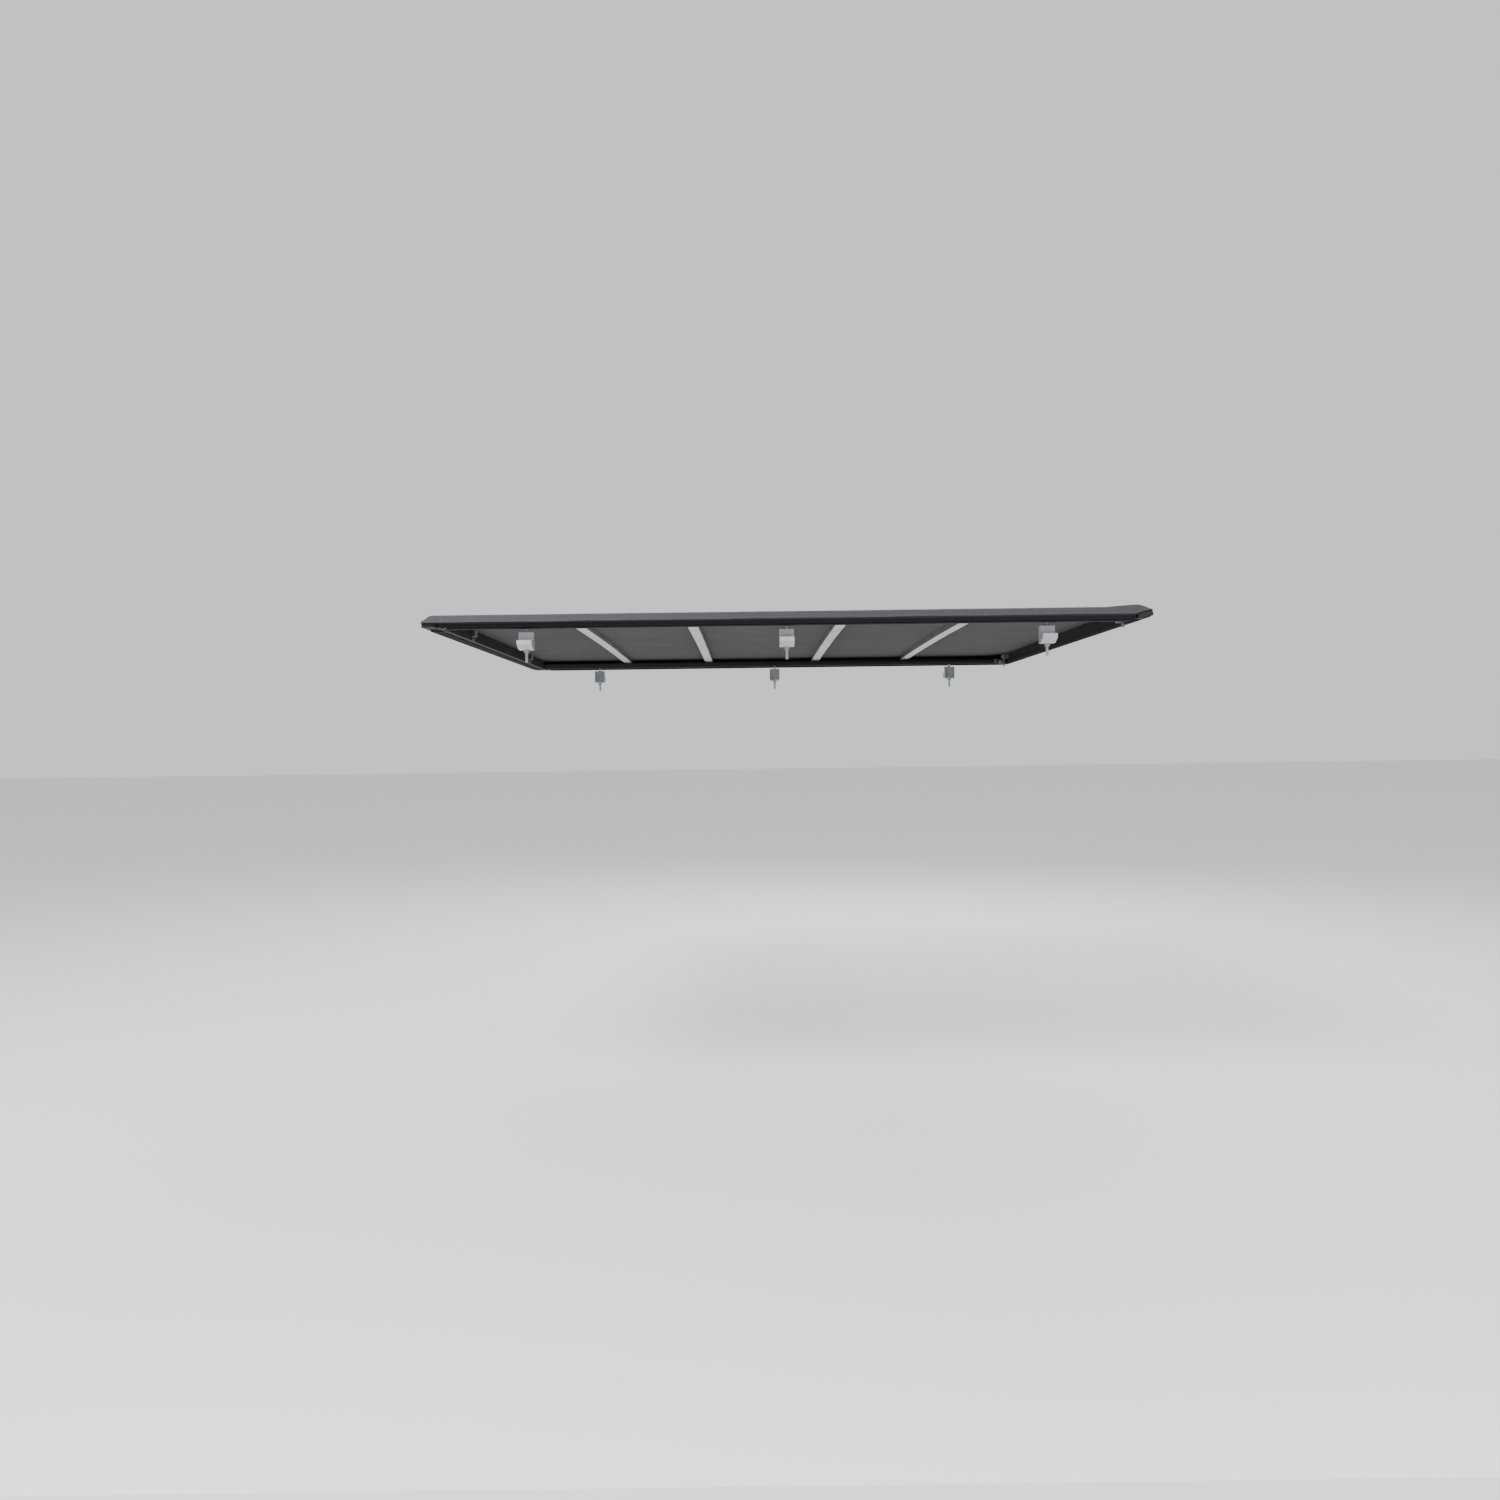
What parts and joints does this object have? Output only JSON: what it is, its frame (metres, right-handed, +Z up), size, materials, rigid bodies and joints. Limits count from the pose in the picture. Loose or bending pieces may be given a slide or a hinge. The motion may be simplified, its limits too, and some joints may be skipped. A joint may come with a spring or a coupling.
{
  "type": "tonneau cover",
  "caption": "Low roll-up pickup bed cover: coated fabric with side skirts over clamped side rails, cross bows, a front header and a latched tail bar.",
  "frame": {"origin": "middle of the plane in which the seals rest on the bed rails", "axes": "+X to the tailgate, +Y to the right-hand side of the truck, +Z up"},
  "size_m": [1.99, 1.69, 0.134],
  "materials": {
    "coated_fabric": "matt grained coated fabric",
    "black_rail": "black powder coat",
    "bow_tube": "mill finish",
    "black_plastic": "moulded, fine grain",
    "grey_plastic": "moulded, fine grain",
    "rubber_seal": "matt rubber",
    "webbing": "woven",
    "black_screw": "black oxide",
    "zinc_steel": "zinc plated",
    "cast_aluminium": "tumbled casting",
    "latch_steel": "black coated steel"
  },
  "bodies": {
    "frame": {"left_side_rail": "black_rail", "right_side_rail": "black_rail", "rail_seals": "rubber_seal", "hook_tapes": "webbing", "front_header": "black_rail", "header_seal": "rubber_seal", "header_corners": "grey_plastic", "header_screws": "black_screw", "clamp_t_bolts": "zinc_steel", "strikers": "latch_steel", "striker_screws": "black_screw", "rail_end_caps": "black_plastic", "storage_straps": "webbing", "strap_screws": "black_screw", "sheet_front": "coated_fabric"},
    "panel_01": {"sheet_panel_01": "coated_fabric", "bow_1": "bow_tube", "bow_tips_1": "black_plastic"},
    "panel_02": {"sheet_panel_02": "coated_fabric"},
    "panel_03": {"sheet_panel_03": "coated_fabric", "bow_2": "bow_tube", "bow_tips_2": "black_plastic"},
    "panel_04": {"sheet_panel_04": "coated_fabric"},
    "panel_05": {"sheet_panel_05": "coated_fabric"},
    "panel_06": {"sheet_panel_06": "coated_fabric", "bow_3": "bow_tube", "bow_tips_3": "black_plastic"},
    "panel_07": {"sheet_panel_07": "coated_fabric"},
    "panel_08": {"sheet_panel_08": "coated_fabric"},
    "panel_09": {"sheet_panel_09": "coated_fabric", "bow_4": "bow_tube", "bow_tips_4": "black_plastic"},
    "panel_10": {"sheet_panel_10": "coated_fabric"},
    "panel_11": {"sheet_panel_11": "coated_fabric"},
    "panel_12": {"sheet_panel_12": "coated_fabric"},
    "panel_13": {"sheet_panel_13": "coated_fabric"},
    "tail": {"sheet_tail": "coated_fabric", "tail_rail": "black_rail", "tail_caps": "grey_plastic", "tail_seal": "rubber_seal", "latch_housings": "latch_steel", "latch_pins": "black_screw", "housing_screws": "black_screw"},
    "hook_left": {"latch_hook_left": "latch_steel"},
    "jaw_left_1": {"left_jaw_1": "cast_aluminium"},
    "nut_left_1": {"left_nut_1": "zinc_steel"},
    "jaw_left_2": {"left_jaw_2": "cast_aluminium"},
    "nut_left_2": {"left_nut_2": "zinc_steel"},
    "jaw_left_3": {"left_jaw_3": "cast_aluminium"},
    "nut_left_3": {"left_nut_3": "zinc_steel"},
    "hook_right": {"latch_hook_right": "latch_steel"},
    "jaw_right_1": {"right_jaw_1": "cast_aluminium"},
    "nut_right_1": {"right_nut_1": "zinc_steel"},
    "jaw_right_2": {"right_jaw_2": "cast_aluminium"},
    "nut_right_2": {"right_nut_2": "zinc_steel"},
    "jaw_right_3": {"right_jaw_3": "cast_aluminium"},
    "nut_right_3": {"right_nut_3": "zinc_steel"}
  },
  "joints": [
    {"name": "fold_01", "type": "hinge", "parent": "frame", "child": "panel_01", "pos_m": [-0.69609, 0, 0.044], "axis": [0, -1, 0], "range_deg": [0, 72]},
    {"name": "fold_02", "type": "hinge", "parent": "panel_01", "child": "panel_02", "pos_m": [-0.50647, 0, 0.044], "axis": [0, -1, 0], "range_deg": [0, 72]},
    {"name": "fold_03", "type": "hinge", "parent": "panel_02", "child": "panel_03", "pos_m": [-0.35532, 0, 0.044], "axis": [0, -1, 0], "range_deg": [0, 72]},
    {"name": "fold_04", "type": "hinge", "parent": "panel_03", "child": "panel_04", "pos_m": [-0.18463, 0, 0.044], "axis": [0, -1, 0], "range_deg": [0, 72]},
    {"name": "fold_05", "type": "hinge", "parent": "panel_04", "child": "panel_05", "pos_m": [-0.04031, 0, 0.044], "axis": [0, -1, 0], "range_deg": [0, 72]},
    {"name": "fold_06", "type": "hinge", "parent": "panel_05", "child": "panel_06", "pos_m": [0.09517, 0, 0.044], "axis": [0, -1, 0], "range_deg": [0, 72]},
    {"name": "fold_07", "type": "hinge", "parent": "panel_06", "child": "panel_07", "pos_m": [0.24062, 0, 0.044], "axis": [0, -1, 0], "range_deg": [0, 72]},
    {"name": "fold_08", "type": "hinge", "parent": "panel_07", "child": "panel_08", "pos_m": [0.34934, 0, 0.044], "axis": [0, -1, 0], "range_deg": [0, 72]},
    {"name": "fold_09", "type": "hinge", "parent": "panel_08", "child": "panel_09", "pos_m": [0.47934, 0, 0.044], "axis": [0, -1, 0], "range_deg": [0, 72]},
    {"name": "fold_10", "type": "hinge", "parent": "panel_09", "child": "panel_10", "pos_m": [0.58472, 0, 0.044], "axis": [0, -1, 0], "range_deg": [0, 72]},
    {"name": "fold_11", "type": "hinge", "parent": "panel_10", "child": "panel_11", "pos_m": [0.683, 0, 0.044], "axis": [0, -1, 0], "range_deg": [0, 72]},
    {"name": "fold_12", "type": "hinge", "parent": "panel_11", "child": "panel_12", "pos_m": [0.793, 0, 0.044], "axis": [0, -1, 0], "range_deg": [0, 72]},
    {"name": "fold_13", "type": "hinge", "parent": "panel_12", "child": "panel_13", "pos_m": [0.868, 0, 0.044], "axis": [0, -1, 0], "range_deg": [0, 72]},
    {"name": "fold_14", "type": "hinge", "parent": "panel_13", "child": "tail", "pos_m": [0.908, 0, 0.044], "axis": [0, -1, 0], "range_deg": [0, 72]},
    {"name": "latch_left", "type": "hinge", "parent": "tail", "child": "hook_left", "pos_m": [0.938, -0.749, 0.03], "axis": [0, -1, 0], "range_deg": [0, 22], "stiffness_Nm_per_rad": 0.4, "springref_deg": -17.19},
    {"name": "latch_right", "type": "hinge", "parent": "tail", "child": "hook_right", "pos_m": [0.938, 0.749, 0.03], "axis": [0, -1, 0], "range_deg": [0, 22], "stiffness_Nm_per_rad": 0.4, "springref_deg": -17.19},
    {"name": "clamp_left_1", "type": "slide", "parent": "frame", "child": "jaw_left_1", "axis": [0, 0, -1], "range_m": [0, 0.02]},
    {"name": "nut_left_1", "type": "hinge", "parent": "jaw_left_1", "child": "nut_left_1", "pos_m": [-0.72, -0.777, -0.0601], "axis": [0, 0, -1], "range_deg": [0, 5761]},
    {"name": "clamp_left_2", "type": "slide", "parent": "frame", "child": "jaw_left_2", "axis": [0, 0, -1], "range_m": [0, 0.02]},
    {"name": "nut_left_2", "type": "hinge", "parent": "jaw_left_2", "child": "nut_left_2", "pos_m": [0, -0.777, -0.0601], "axis": [0, 0, -1], "range_deg": [0, 5761]},
    {"name": "clamp_left_3", "type": "slide", "parent": "frame", "child": "jaw_left_3", "axis": [0, 0, -1], "range_m": [0, 0.02]},
    {"name": "nut_left_3", "type": "hinge", "parent": "jaw_left_3", "child": "nut_left_3", "pos_m": [0.72, -0.777, -0.0601], "axis": [0, 0, -1], "range_deg": [0, 5761]},
    {"name": "clamp_right_1", "type": "slide", "parent": "frame", "child": "jaw_right_1", "axis": [0, 0, -1], "range_m": [0, 0.02]},
    {"name": "nut_right_1", "type": "hinge", "parent": "jaw_right_1", "child": "nut_right_1", "pos_m": [-0.72, 0.777, -0.0601], "axis": [0, 0, -1], "range_deg": [0, 5761]},
    {"name": "clamp_right_2", "type": "slide", "parent": "frame", "child": "jaw_right_2", "axis": [0, 0, -1], "range_m": [0, 0.02]},
    {"name": "nut_right_2", "type": "hinge", "parent": "jaw_right_2", "child": "nut_right_2", "pos_m": [0, 0.777, -0.0601], "axis": [0, 0, -1], "range_deg": [0, 5761]},
    {"name": "clamp_right_3", "type": "slide", "parent": "frame", "child": "jaw_right_3", "axis": [0, 0, -1], "range_m": [0, 0.02]},
    {"name": "nut_right_3", "type": "hinge", "parent": "jaw_right_3", "child": "nut_right_3", "pos_m": [0.72, 0.777, -0.0601], "axis": [0, 0, -1], "range_deg": [0, 5761]}
  ],
  "couplings": [
    {"joint": "fold_13", "follows": "fold_12", "ratio": 1},
    {"joint": "fold_14", "follows": "fold_12", "ratio": 1},
    {"joint": "nut_left_1", "follows": "clamp_left_1", "rad_per_m": 5026.5},
    {"joint": "nut_left_2", "follows": "clamp_left_2", "rad_per_m": 5026.5},
    {"joint": "nut_left_3", "follows": "clamp_left_3", "rad_per_m": 5026.5},
    {"joint": "nut_right_1", "follows": "clamp_right_1", "rad_per_m": 5026.5},
    {"joint": "nut_right_2", "follows": "clamp_right_2", "rad_per_m": 5026.5},
    {"joint": "nut_right_3", "follows": "clamp_right_3", "rad_per_m": 5026.5}
  ]
}
